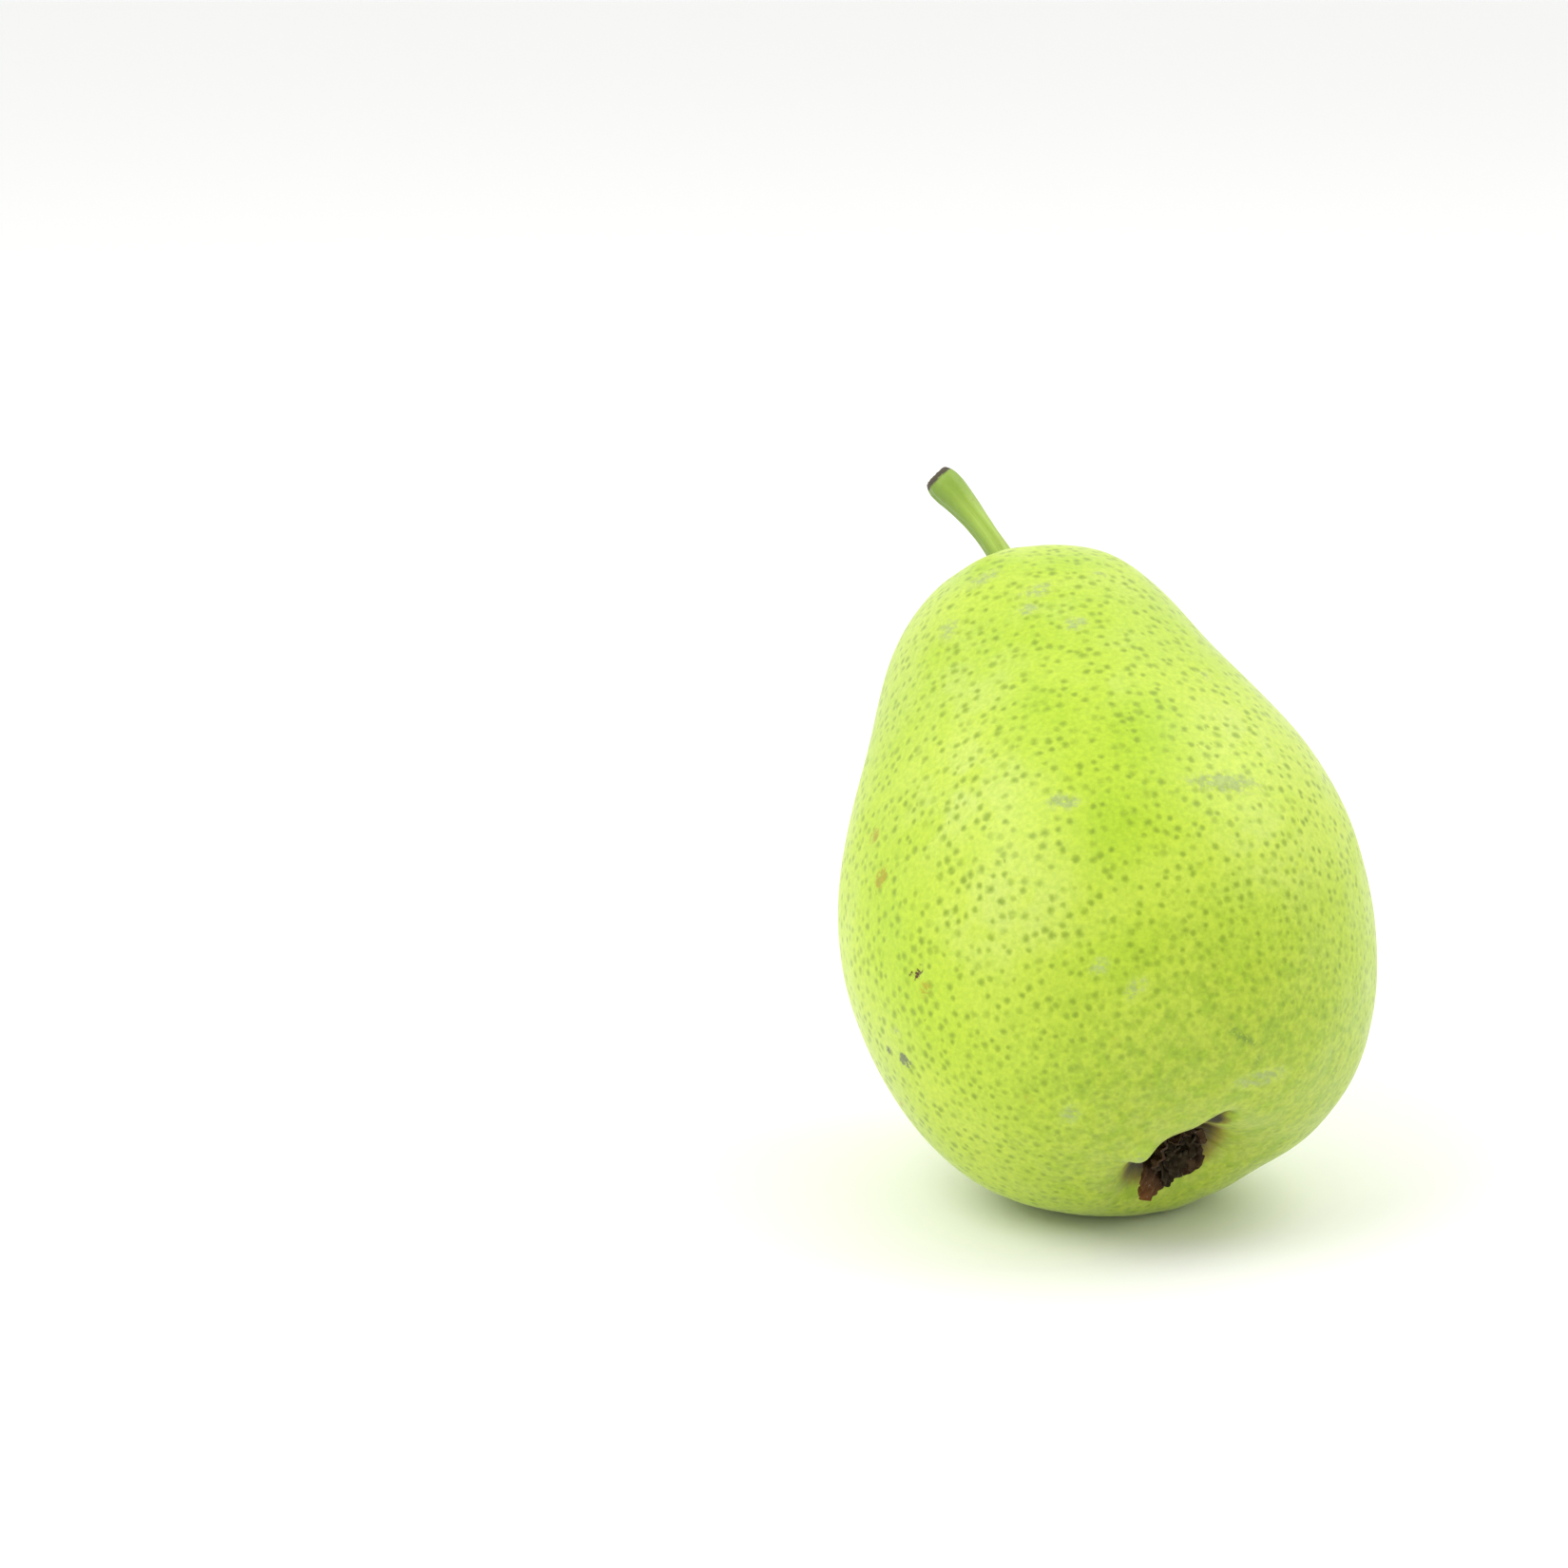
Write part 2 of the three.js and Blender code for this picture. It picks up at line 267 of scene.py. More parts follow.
def grown(radius, angle, height):
    """A turned point moved to where the fruit grew: the radius grows by the oval, the lobes
    and the cheek; above the belly the axis bends with the square of the height; and in the
    basin the floor is shifted and tilted, with a small pit and a knoll on its rim."""
    low = height < BELLY_HEIGHT
    reach = np.exp(-((np.maximum(height, 0) / LOBE_REACH) ** 2)) * radius / LOBE_RADIUS
    lobe = np.where(low, np.minimum(reach, 1) * LOBE_DEPTH * np.cos(LOBES * angle), 0)
    from_cheek = turned_from(angle, CHEEK_DEGREES) / CHEEK_WIDTH
    cheek = np.exp(-(from_cheek**2) - ((height - CHEEK_HEIGHT) / CHEEK_REACH) ** 2)
    wide = radius * (1 + OVAL * np.cos(2 * angle)) + lobe + CHEEK_SWELL * cheek * radius / BELLY_RADIUS
    bend = np.where(low, 0, ((height - BELLY_HEIGHT) / (LENGTH - BELLY_HEIGHT)) ** 2)
    basin = np.where(low, np.exp(-((radius / BASIN_REACH) ** 2)), 0)
    slope = BASIN_SLOPE * radius * np.cos(angle - np.radians(BASIN_SLOPE_DEGREES))
    x, y = radius * np.cos(angle), radius * np.sin(angle)
    dent = np.where(low, PIT_DEPTH * rim_spot(x, y, *PIT) - KNOLL_RISE * rim_spot(x, y, *KNOLL), 0)
    return np.stack([
        wide * np.cos(angle) + NECK_SHIFT[0] * bend + BASIN_SHIFT[0] * basin,
        wide * np.sin(angle) + NECK_SHIFT[1] * bend + BASIN_SHIFT[1] * basin,
        height + basin * slope + dent,
    ], axis=-1)


radius, height = outline[:, :1], outline[:, 1:]
skin = grown(radius, azimuth[None, :], height)
print("the grown body is", np.round(np.ptp(skin, axis=(0, 1)), 1).tolist(), "mm along its own axes")

# %% [markdown]
# ## Relief
# The pushes so far make a smooth body. Fine relief goes on square to the skin: soft lumps
# all over, creases that run out of the flower basin and the stalk's hollow, and shallow
# dents. The direction square to the skin is the cross product of the grid's two steps.

# %% Relief on the skin
LUMP_HEIGHT, FINE_LUMP_HEIGHT, LUMP_RADIUS = 0.22, 0.07, 16
BASIN_CREASE, BASIN_CREASES = 0.16, 11
HOLLOW_CREASE, HOLLOW_CREASES = 0.22, 7


def outward(places):
    """The unit direction square to a grid: the step round it crossed with the step along."""
    around = np.roll(places, -1, 1) - np.roll(places, 1, 1)
    square = np.cross(around, np.gradient(places, axis=0))
    return square / np.maximum(np.linalg.norm(square, axis=2, keepdims=True), 1e-9)


def lumps(angle, height, seed, count, size):
    """A sum of waves with whole numbers of turns round the axis, so that it has no seam."""
    draw = np.random.default_rng(seed)
    waves = 0
    for turns in draw.integers(1, 2 * size, count):
        lean, phase = draw.normal(0, size / 40), draw.uniform(0, 2 * np.pi)
        waves = waves + np.cos(turns * angle + lean * height + phase)
    return waves / np.sqrt(count)


low = height < BELLY_HEIGHT
room = np.minimum(radius / LUMP_RADIUS, 1) ** 2
angle = azimuth[None, :] + 0 * radius
wander = angle + 0.25 * np.sin(3 * angle + 0.8) + 0.12 * np.sin(7 * angle)
relief = LUMP_HEIGHT * lumps(angle, height, 4, 7, 3)
relief = room * (relief + FINE_LUMP_HEIGHT * lumps(angle, height, 9, 12, 8))
near_basin, near_hollow = (np.exp(-(((radius - at) / wide) ** 2)) for at, wide in ((6, 2.6), (7, 3.2)))
relief += np.where(low, BASIN_CREASE * near_basin * np.cos(BASIN_CREASES * wander), 0)
relief += np.where(low, 0, HOLLOW_CREASE * near_hollow * np.cos(HOLLOW_CREASES * wander + 1))
normals = outward(skin)
skin += normals * relief[..., None]
print("the relief runs from", round(float(relief.min()), 2), "to", round(float(relief.max()), 2), "mm")

# %% [markdown]
# ## Lying down
# The pear leans back on its cheek. The lean is one turn for the whole fruit, and its place
# comes from the frame: the turned skin is moved until its box has the same middle and the
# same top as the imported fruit. A pear is heavy and a little soft, so the skin flattens where
# it rests; a smooth maximum with the floor presses it.

# %% Lay the fruit in the frame
LEAN, HEADING = np.radians(39.5), np.radians(21)
lay_turn = np.array(Matrix.Rotation(HEADING, 3, "Z") @ Matrix.Rotation(-LEAN, 3, "X"))
low_corner, high_corner = (np.array(corner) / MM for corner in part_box("fruit"))
lying = grown(radius, angle, height) @ lay_turn.T
middle = (lying.min((0, 1)) + lying.max((0, 1))) / 2
axis_start = (low_corner + high_corner) / 2 - middle
axis_start[2] = high_corner[2] - lying[..., 2].max()


def laid(places):
    """Places on the fruit's own axis moved to where the fruit lies."""
    return places @ lay_turn.T + axis_start


def pressed(places, softness=0.25):
    """Places kept above the floor: half of z plus the root of z squared plus a small square."""
    held = places.copy()
    z = held[..., 2]
    held[..., 2] = (z + np.sqrt(z**2 + softness**2)) / 2
    return held


print("the axis starts at", np.round(axis_start, 2).tolist(), "mm")

# %% [markdown]
# ## Marks on the skin
# Every pear carries its own marks: grey scuffs from leaves and twigs, corky russet spots, a
# small healed wound, and broad patches where the green is deeper or paler. Each mark is a
# soft oval on the skin, at an angle round the axis and a height along it; the finish breaks
# its edge up later. The far side gets its own marks from a seeded draw.

# %% Soft ovals on the skin
HOLLOW_RINGS = 40
rim = int(np.argmin(np.where(outline[:, 0] > 6, outline[:, 1], LENGTH)))


def on_skin(degrees, up):
    """The grid's ring and side nearest to an angle round the axis and a height along it."""
    ring = rim + int(np.argmin(np.abs(outline[rim:-HOLLOW_RINGS, 1] - up)))
    return ring, int(np.argmin(np.abs(turned_from(azimuth, degrees))))


def oval(degrees, up, across, length, turn=0):
    """A soft oval: the exponential of minus the squared distance from the skin's point at an
    angle and a height, counted in the oval's half sizes, turned within the skin."""
    ring, side = on_skin(degrees, up)
    around = skin[ring, (side + 1) % SIDES] - skin[ring, side - 1]
    around /= np.linalg.norm(around)
    upward = np.cross(normals[ring, side], around)
    offset = skin - skin[ring, side]
    a, b = offset @ around, offset @ upward
    c, s = np.cos(np.radians(turn)), np.sin(np.radians(turn))
    out = ((a * c + b * s) / across) ** 2 + ((b * c - a * s) / length) ** 2
    return np.exp(-out - ((offset @ normals[ring, side]) / max(across, length, 6)) ** 2)


def together(ovals):
    """Several ovals as one field; where they meet the stronger one holds."""
    return np.max([strength * oval(*shape) for strength, *shape in ovals], axis=0)


print("the basin's rim is ring", rim)

# %% The marks, each a strength, a place and a size
draw = np.random.default_rng(12)


def scattered(count, *ranges):
    """That many drawn marks, each with one number from every range in turn."""
    return [tuple(draw.uniform(least, most) for least, most in ranges) for _ in range(count)]


far_scuffs = scattered(16, (0.5, 0.9), (-40, 150), (8, 88), (0.8, 2.6), (0.5, 1.2), (-60, 60))
far_russet = scattered(12, (0.5, 0.9), (-30, 160), (12, 92), (0.6, 1.5), (0.5, 1.2), (-60, 60))
far_bloom = scattered(9, (0.4, 0.8), (-30, 170), (15, 85), (6, 12), (5, 10), (-60, 60))
far_deep = scattered(7, (0.4, 0.9), (-20, 160), (15, 85), (6, 12), (8, 16), (-60, 60))
marks = {
    "scuff": together([
        (1.3, -114, 79, 1.2, 1.0, 0), (1.3, -100, 74, 1.5, 1.3, 0), (1.4, -118, 43, 2.2, 1.0, -15),
        (1.5, -82, 42, 4.6, 1.5, -8), (1.1, -120, 20, 1.2, 1.0, 0), (0.8, -114, 16, 1.8, 1.2, 30),
        (0.8, -178, 25, 1.4, 0.7, -30), (1.2, -76, 4, 3.6, 1.2, 12), (0.8, -144, 5, 1.9, 1.3, 40),
        (0.6, -82, 84, 1.6, 1.2, 0), (0.8, -128, 88, 3.0, 1.6, 20), (0.5, -70, 62, 2.2, 1.2, 20),
        (1.0, -136, -0.2, 1.4, 1.8, 0), (0.7, -108, 82, 3.2, 1.6, 10), (0.6, -142, 80, 2.0, 3.0, 20),
    ] + far_scuffs),
    "smudge": together([(1.7, 179, 21.5, 1.2, 0.9, -25), (1.3, 175, 24, 0.8, 0.7, 0)]),
    "scratch": together([
        (1.5, -87, 8.7, 2.4, 0.5, -35), (0.9, -81, 6, 1.2, 0.5, 60), (0.6, -83, 11, 1.6, 0.4, -60),
    ]),
    "russet": together([
        (1.4, -166, 45, 1.5, 1.1, 20), (1.0, -168, 52, 1.3, 1.1, 0), (0.8, -161, 26.5, 1.6, 1.1, 0),
        (0.4, -152, 9, 1.0, 1.6, 0), (0.35, -122, 11, 0.8, 1.4, 0),
    ] + far_russet),
    "wound": together([
        (1.0, -162, 29, 1.3, 0.55, 15), (0.8, -164, 29.4, 0.7, 0.5, -40), (0.6, -160, 30, 0.6, 0.4, 40),
    ]),
    "bloom": together([
        (0.8, -140, 51, 11, 9, 0), (0.7, -135, 31, 10, 8, 0), (0.8, -76, 31, 9, 8, 0),
        (0.6, -72, 18, 8, 6, 0), (0.8, -106, 78, 8, 5, 0), (0.9, -136, 70, 9, 12, 0),
        (0.7, -70, 50, 8, 9, 0), (0.5, 178, 24, 6, 5, 0), (0.7, -160, 75, 8, 12, 0),
        (0.6, -80, 80, 8, 7, 0), (0.5, -100, 60, 5, 4, 0), (0.5, -88, 68, 7, 6, 0),
    ] + far_bloom),
    "deep": together([
        (1.0, -109, 38, 6, 9, -20), (0.9, -97, 52, 6, 9, -25), (0.8, -114, 21, 8, 5, 0),
        (0.6, -165, 38, 7, 14, 0), (0.9, -92, 88, 9, 6, 0), (0.9, -122, 90, 9, 5, 0),
        (0.6, -108, 76, 34, 15, 0), (0.7, -118, 60, 6, 10, 10), (0.6, -86, 22, 7, 7, 0),
        (0.5, -150, 10, 10, 6, 0),
    ] + far_deep),
}
print("marks:", {name: round(float(values.mean()), 4) for name, values in marks.items()})

# %% [markdown]
# ## Where the skin changes
# Six more fields say where the skin changes. The breathing dots are small and
# crowded round the flower end and on one side, and larger elsewhere. Low on the front the
# skin is blotched and darkened towards the flower end; that darkening is painted shade. The basin is
# dull and dusty and stained next to the dried flower, its pit has an olive stain under painted shade, and
# the hollow at the stalk is stained too.

# %% Fields of place
from_flower = np.linalg.norm(skin - skin[0, 0], axis=2)
from_stalk = np.linalg.norm(skin - skin[-1, 0], axis=2)
marks["fine_dots"] = np.clip(0.9 - (height - 4) / 34 + 0.45 * np.cos(turned_from(angle, -50)), 0, 1)
# base is highest low on the front: it darkens the skin there as painted shade, and also blotches it and
# thins the dots
marks["base"] = np.exp(-((np.linalg.norm(skin - skin[on_skin(-75, 0)], axis=2) / 30) ** 2))
marks["basin"] = np.exp(-((from_flower / 9.5) ** 2))
marks["dull"] = np.exp(-((from_flower / 17) ** 2))
on_base = radius * np.cos(angle), radius * np.sin(angle)
# the pit's mask: an olive stain, with painted shade laid on its deepest part
pit_stain_and_shade = np.maximum(rim_spot(*on_base, *PIT), 0.9 * rim_spot(*on_base, 10.8, -76, 2.2, 1.5))
marks["pit"] = np.where(low, pit_stain_and_shade, 0)
marks["hollow"] = np.exp(-((from_stalk / 7) ** 2))
print("fields:", sorted(marks))

# %% [markdown]
# ## Breathing dots
# A pear breathes through small corky pores, about two millimetres apart. Here they stand in
# rows round the fruit, pushed about at random until the rows can't be seen, with some left
# out. The mesh is too coarse to draw a dot of one millimetre, but it can carry a direction:
# each skin point holds the step to its nearest pore, and the finish turns the length of that
# step into a round dot. Four interleaved sets of pores keep the steps clear of each other.

# %% Pores in rows
PORE_GAP, PORE_SHIFT, PORE_RADIUS = 1.8, 0.30, 0.67
FINE_SHRINK, LEFT_OUT, FINE_FEWER = 0.13, 0.30, 0.20
arc = np.concatenate([[0], np.cumsum(np.linalg.norm(np.diff(outline, axis=0), axis=1))])
row_arc = np.arange(arc[rim] - 2, arc[-1] - 6, PORE_GAP)
row_count = 2 * np.round(np.pi * np.interp(row_arc, arc, outline[:, 0]) / PORE_GAP).astype(int)
row = np.repeat(np.arange(len(row_arc)), row_count)
column = np.arange(len(row)) - np.repeat(np.cumsum(row_count) - row_count, row_count)
draw = np.random.default_rng(31)
shift = draw.uniform(-PORE_SHIFT, PORE_SHIFT, (2, len(row)))
pore_ring = np.interp(row_arc[row] + shift[0] * PORE_GAP, arc, np.arange(len(arc)))
pore_side = (column + 0.5 * (row % 2) + shift[1]) / row_count[row] * SIDES % SIDES


def on_grid(values, ring, side):
    """The grid's values at places between its points, weighed by the nearness of the four."""
    i, j = ring.astype(int), side.astype(int) % SIDES
    a, b = (ring - i)[:, None], (side - side.astype(int))[:, None]
    next_i, next_j = np.minimum(i + 1, len(values) - 1), (j + 1) % SIDES
    near = (1 - b) * values[i, j] + b * values[i, next_j]
    return (1 - a) * near + a * ((1 - b) * values[next_i, j] + b * values[next_i, next_j])


pores = on_grid(skin, pore_ring, pore_side)
pore_fine = on_grid(marks["fine_dots"][..., None], pore_ring, pore_side)[:, 0]
pore_size = (PORE_RADIUS - FINE_SHRINK * pore_fine) * draw.uniform(0.70, 1.15, len(row))
kept = draw.uniform(0, 1, len(row)) > LEFT_OUT - FINE_FEWER * pore_fine
print(int(kept.sum()), "pores,", np.round([pore_size.min(), pore_size.max()], 2), "mm in radius")

# %% The step from each skin point to its nearest pore
NEAR_ARC, LONGEST_STEP = 5, 3
LIFT_START, LIFT_OVER, LIFT = 0.8, 0.6, 1.6


def pore_steps(chosen):
    """One ring at a time, the step to the nearest chosen pore, counted in its radius, and
    lifted off the skin where it is long, so that two steps never cancel between pores."""
    steps = np.empty_like(skin)
    reach = np.empty(skin.shape[:2])
    places, sizes = pores[chosen], pore_size[chosen]
    arcs = np.interp(pore_ring[chosen], np.arange(len(arc)), arc)
    nowhere = skin[0, 0] + np.array([0, 0, 999.0])
    for ring in range(len(skin)):
        close = np.abs(arcs - arc[ring]) < NEAR_ARC
        all_steps = np.concatenate([places[close], [nowhere]]) - skin[ring][:, None]
        pick = np.argmin((all_steps**2).sum(-1), axis=1)
        steps[ring] = np.take_along_axis(all_steps, pick[:, None, None], axis=1)[:, 0]
        reach[ring] = np.append(sizes[close], 1)[pick]
    far = np.linalg.norm(steps, axis=2)
    lift = np.clip((far - LIFT_START) / LIFT_OVER, 0, 1) ** 2 * LIFT
    steps *= np.minimum(1, LONGEST_STEP / far)[..., None]
    return (steps + normals * lift[..., None]) / reach[..., None]


for k in range(4):
    marks[f"pores_{k}"] = pore_steps(kept & (2 * (row % 2) + column % 2 == k))
print("four sets of steps")

# %% [markdown]
# ## The skin's finish
# Pear skin is a thin wax over green cells: a yellow-green that drifts over the fruit, olive
# dots where it breathes, and a soft sheen. The large dots come from the pores; the finest
# ones are the middles of Voronoi cells in three dimensions, cut by the skin. A noise breaks
# the soft ovals into ragged marks.

# %% Base colours of the skin
PALE, GREEN = (0.53, 0.67, 0.060, 1), (0.45, 0.615, 0.022, 1)
BLOOM, DEEP = (0.56, 0.67, 0.17, 1), (0.37, 0.56, 0.010, 1)
BASE_PAINTED_SHADE, BLOTCH = (0.38, 0.49, 0.022, 1), (0.27, 0.43, 0.008, 1)
skin_finish, tree, skin_shader, place = new_finish("pear_skin")
drift = ramp(tree, noise(tree, place, 26, 2.0), 0.32, 0.68)
colour = tint(tree, drift, GREEN, PALE)
bloom_clouds = ramp(tree, noise(tree, place, 6, 3.0), 0.35, 0.62, 0.15, 0.95)
colour = tint(tree, times(tree, field(tree, "bloom"), bloom_clouds), colour, BLOOM)
colour = tint(tree, times(tree, field(tree, "deep"), 0.9), colour, DEEP)
# painted shade: the skin darkened low on the front, towards the flower end
colour = tint(tree, ramp(tree, field(tree, "base"), 0.0, 1.0, 0.0, 0.9), colour, BASE_PAINTED_SHADE)
mottle = ramp(tree, noise(tree, place, 2.6, 4.0, 0.6), 0.35, 0.70)
colour = tint(tree, times(tree, mottle, 0.28), colour, GREEN)
blotch = ramp(tree, noise(tree, place, 1.9, 3.0), 0.42, 0.64)
blotched = times(tree, blotch, ramp(tree, field(tree, "base"), 0.12, 0.75, 0.0, 0.72))
colour = tint(tree, blotched, colour, BLOTCH)
print("the ground colour is mixed")

# %% Dots from the pores
DOT = (0.20, 0.31, 0.003, 1)
FINE_GAP = 1.15
away = 9.0
for k in range(4):
    step = add_node(tree, "ShaderNodeAttribute", {}, attribute_name=f"pores_{k}").outputs["Vector"]
    length = add_node(tree, "ShaderNodeVectorMath", {0: step}, operation="LENGTH").outputs["Value"]
    away = calc(tree, "MINIMUM", away, length)
uneven = times(tree, calc(tree, "SUBTRACT", noise(tree, place, 0.8, 2.0), 0.5), 0.9)
pore = ramp(tree, plus(tree, away, uneven), 1.3, 0.15)
chance = ramp(tree, noise(tree, place, 3.2, 1.0), 0.30, 0.62, 0.45, 1.0)
cell = {"Vector": place, "Scale": 1 / (FINE_GAP * MM)}
cell_middle = ramp(tree, add_node(tree, "ShaderNodeTexVoronoi", cell).outputs["Distance"], 0.46, 0.18)
fine_dot = times(tree, cell_middle, ramp(tree, field(tree, "fine_dots"), 0.1, 0.8, 0.08, 0.26))
strength = times(tree, chance, ramp(tree, field(tree, "base"), 0.35, 0.9, 1.0, 0.6))
dot = calc(tree, "MAXIMUM", times(tree, pore, strength), fine_dot)
bare = calc(tree, "SUBTRACT", 1.0, ramp(tree, field(tree, "basin"), 0.35, 0.6), True)
dot = times(tree, dot, bare)
colour = tint(tree, times(tree, dot, 0.80), colour, DOT)
print("dots laid on")

# %% Scuffs, spots and scratches
SCUFF, SMUDGE = (0.33, 0.41, 0.18, 1), (0.10, 0.115, 0.08, 1)
RUSSET, WOUND = (0.36, 0.285, 0.003, 1), (0.10, 0.04, 0.01, 1)
SCRATCH = (0.17, 0.28, 0.014, 1)


def ragged(tree, name, place, size, soft=0.35):
    """A soft oval broken into a ragged mark by noise of that size."""
    clouds = ramp(tree, noise(tree, place, size, 5.0, 0.7), 0.34, 0.64, 0.15, 1.5)
    clouds = times(tree, clouds, ramp(tree, noise(tree, place, 2.6 * size, 2.0), 0.3, 0.6, 0.5, 1.2))
    return ramp(tree, times(tree, field(tree, name), clouds), 0.5 - soft, 0.5 + soft)


scuffed = ragged(tree, "scuff", place, 0.9, 0.45)
halo = ramp(tree, field(tree, "scuff"), 0.02, 0.35)
colour = tint(tree, times(tree, halo, 0.35), colour, PALE)
colour = tint(tree, times(tree, scuffed, 0.66), colour, SCUFF)
colour = tint(tree, times(tree, ragged(tree, "smudge", place, 0.8), 0.85), colour, SMUDGE)
colour = tint(tree, times(tree, ragged(tree, "scratch", place, 0.6, 0.5), 0.8), colour, SCRATCH)
colour = tint(tree, times(tree, ragged(tree, "russet", place, 0.7), 0.85), colour, RUSSET)
wound = ragged(tree, "wound", place, 0.5, 0.25)
colour = tint(tree, wound, colour, WOUND)
print("marks laid on")

# %% Stains in the basin and the hollow; an olive stain and painted shade in the pit
DUST, STAIN, STAIN_EDGE = (0.41, 0.46, 0.12, 1), (0.08, 0.052, 0.012, 1), (0.27, 0.18, 0.012, 1)
PIT_OLIVE, PIT_PAINTED_SHADE = (0.20, 0.17, 0.010, 1), (0.035, 0.028, 0.006, 1)
HOLLOW_STAIN = (0.30, 0.30, 0.045, 1)
dusty = times(tree, field(tree, "dull"), ramp(tree, noise(tree, place, 2.6, 4.0), 0.35, 0.65, 0.2, 1.0))
colour = tint(tree, times(tree, dusty, 0.55), colour, DUST)
near_flower = plus(tree, field(tree, "basin"), times(tree, noise(tree, place, 2.5, 4.0), 0.2))
colour = tint(tree, ramp(tree, near_flower, 0.46, 0.64, 0.0, 0.8), colour, STAIN_EDGE)
colour = tint(tree, ramp(tree, near_flower, 0.56, 0.78), colour, STAIN)
hollow_clouds = ramp(tree, noise(tree, place, 1.4, 4.0), 0.35, 0.6)
near_stalk = times(tree, ramp(tree, field(tree, "hollow"), 0.45, 0.9), hollow_clouds)
colour = tint(tree, times(tree, near_stalk, 0.7), colour, HOLLOW_STAIN)
pit_clouds = times(tree, calc(tree, "SUBTRACT", noise(tree, place, 1.2, 3.0), 0.5), 0.5)
pitted = plus(tree, field(tree, "pit"), pit_clouds)
# the pit: an olive stain, then painted shade where the hole is deepest
colour = tint(tree, ramp(tree, pitted, 0.15, 0.55, 0.0, 0.9), colour, PIT_OLIVE)
colour = tint(tree, ramp(tree, pitted, 0.45, 0.85), colour, PIT_PAINTED_SHADE)
grain = ramp(tree, noise(tree, place, 0.7, 3.0, 0.6), 0.3, 0.7)
colour = tint(tree, 0.10, colour, grain, "OVERLAY")
tree.links.new(colour, skin_shader.inputs["Base Color"])
print("stains laid on")

# %% The waxy surface
rough = ramp(tree, noise(tree, place, 6, 3.0), 0.3, 0.7, 0.38, 0.52)
rough = plus(tree, plus(tree, rough, times(tree, scuffed, 0.25)), times(tree, wound, 0.2))
tree.links.new(rough, skin_shader.inputs["Roughness"])
set_up(skin_shader, Coat_Weight=0.10, Coat_Roughness=0.32, Specular_IOR_Level=0.4,
       Sheen_Weight=0.16, Sheen_Roughness=0.3, Subsurface_Weight=0.12,
       Subsurface_Radius=(0.7, 1.0, 0.2), Subsurface_Scale=0.003)
bumps = plus(tree, times(tree, noise(tree, place, 0.55, 2.0), 0.35), times(tree, dot, -0.35))
bumps = plus(tree, bumps, times(tree, noise(tree, place, 3.5, 2.0), 0.9))
bumps = plus(tree, bumps, times(tree, scuffed, 0.3))
bumps = calc(tree, "SUBTRACT", bumps, wound)
bumpy(tree, skin_shader, bumps, 0.6, 0.00012)
print("the skin's finish has", len(tree.nodes), "nodes")

# %% [markdown]
# ## The skin as a piece
# The relief of the marks goes into the mesh as well, where it is deep enough to show: a
# scuff stands up a little and the wound is a small dent. Then the grid is laid down, pressed,
# and closed with one point at each end.

# %% Build the skin
SCUFF_RISE, WOUND_DEPTH = 0.10, 0.35
skin += normals * (SCUFF_RISE * marks["scuff"] - WOUND_DEPTH * marks["wound"])[..., None]
laid_skin = pressed(laid(skin))
fields = {}
for name, values in marks.items():
    values = np.broadcast_to(values, skin.shape[: values.ndim])
    middle = values[1:-1].reshape(-1, *values.shape[2:])
    fields[name] = np.concatenate([values[:1].mean(1), middle, values[-1:].mean(1)])
skin_body = (laid_skin[0].mean(0), laid_skin[1:-1], laid_skin[-1].mean(0))
fruit_skin = closed_piece("fruit_skin", [skin_body], skin_finish, fields)
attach(fruit_skin, "root")
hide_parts("fruit")

# %% [markdown]
# ## The stalk
# The stalk is fleshy and green, thick at the foot, thin at the waist, and flared where it
# broke from the twig. A round profile is carried along a bent path; its radius swells at both
# ends, faint ribs run along it, and its end is a shallow dish with a dark corky rim.

# %% A profile carried along a path
def bezier(points, t):
    """A quadratic Bezier path and its direction: (1-t)^2 a + 2t(1-t) b + t^2 c."""
    a, b, c = (np.array(point, float) for point in points)
    t = t[:, None]
    along = 2 * (1 - t) * (b - a) + 2 * t * (c - b)
    return (1 - t) ** 2 * a + 2 * t * (1 - t) * b + t**2 * c, along / np.linalg.norm(along, axis=1)[:, None]


def carried(path, along, side, across, out):
    """Rings round a path: each point is the path's plus across times a sideways direction
    plus out times the direction square to both."""
    sideways = side - along * (along @ side)[:, None]
    sideways /= np.linalg.norm(sideways, axis=1)[:, None]
    square = np.cross(along, sideways)
    return path[:, None] + across[..., None] * sideways[:, None] + out[..., None] * square[:, None]


def even_steps(points, count, power=1.0):
    """Numbers from 0 to 1 that part a bent path into steps of equal length."""
    t = np.linspace(0, 1, 400)
    path, _ = bezier(points, t)
    far = np.concatenate([[0], np.cumsum(np.linalg.norm(np.diff(path, axis=0), axis=1))])
    return np.interp(np.linspace(0, 1, count) ** power * far[-1], far, t)


print("path helpers ready")

# %% The stalk's shape
STALK_PATH = [(2.3, 2.8, 89.4), (3.6, 2.6, 99.5), (-5.6, 2.2, 113.5)]
STALK_RADII = [2.6, 2.4, 2.15, 1.95, 1.78, 1.7, 1.78, 2.15, 2.6, 2.55]
STALK_RINGS, STALK_SIDES = 150, 72
t = even_steps(STALK_PATH, STALK_RINGS)
share = np.linspace(0, 1, STALK_RINGS)
path, along = bezier(STALK_PATH, t)
girth = np.interp(share, np.linspace(0, 1, len(STALK_RADII)), STALK_RADII)
girth = np.convolve(np.pad(girth, 7, "edge"), np.hanning(15) / np.hanning(15).sum(), "valid")
girth -= 0.55 * np.clip((share - 0.93) / 0.07, 0, 1) ** 2
turn = 2 * np.pi * np.arange(STALK_SIDES) / STALK_SIDES
ribs = 0.05 * np.cos(5 * turn + 0.6) + 0.035 * np.cos(9 * turn + 2.0)
